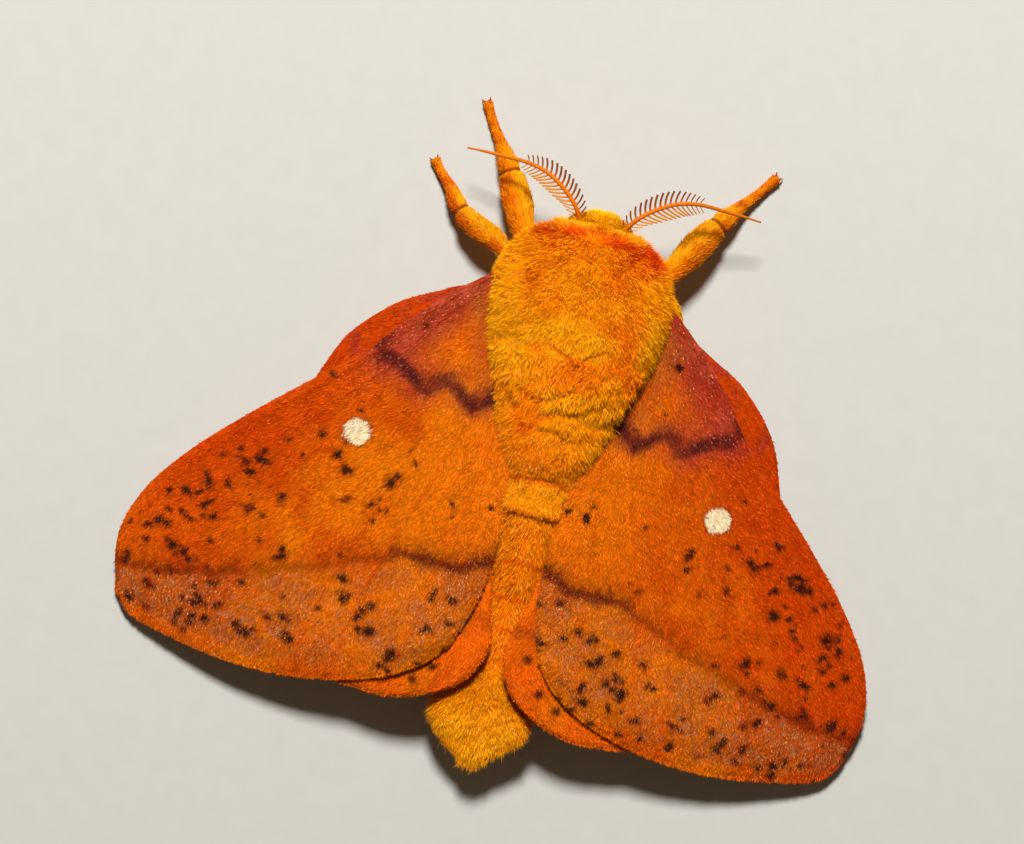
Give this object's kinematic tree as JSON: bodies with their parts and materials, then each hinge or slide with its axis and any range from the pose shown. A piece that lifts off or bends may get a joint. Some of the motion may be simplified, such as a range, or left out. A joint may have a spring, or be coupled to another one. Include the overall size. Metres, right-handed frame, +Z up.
{
  "type": "oakworm moth",
  "caption": "Life-size still model of a furry orange moth at rest, wings held out low over its back, feathered antennae forward and a tuft at its tail",
  "frame": {"origin": "on the floor under the middle of the moth's box", "axes": "+X is the moth's own left, -Y is where its head points, +Y is its tail, +Z is up"},
  "size_m": [0.0392, 0.033, 0.0088],
  "materials": {
    "body_fur": "dense golden-orange hair",
    "wing_scales": "fine orange scales with dark specks",
    "leg_fur": "short orange hair",
    "antenna_horn": "horny feather, satin",
    "eye_facets": "dark and glossy"
  },
  "bodies": {
    "root": {"thorax": "body_fur", "abdomen": "body_fur", "head": "body_fur", "tail_tuft": "body_fur", "eye_left": "eye_facets", "eye_right": "eye_facets", "antenna_left": "antenna_horn", "antenna_right": "antenna_horn", "forewing_left": "wing_scales", "forewing_right": "wing_scales", "hindwing_left": "wing_scales", "hindwing_right": "wing_scales", "foreleg_left": "leg_fur", "foreleg_right": "leg_fur", "midleg_left": "leg_fur", "midleg_right": "leg_fur", "hindleg_left": "leg_fur", "hindleg_right": "leg_fur"}
  },
  "joints": []
}
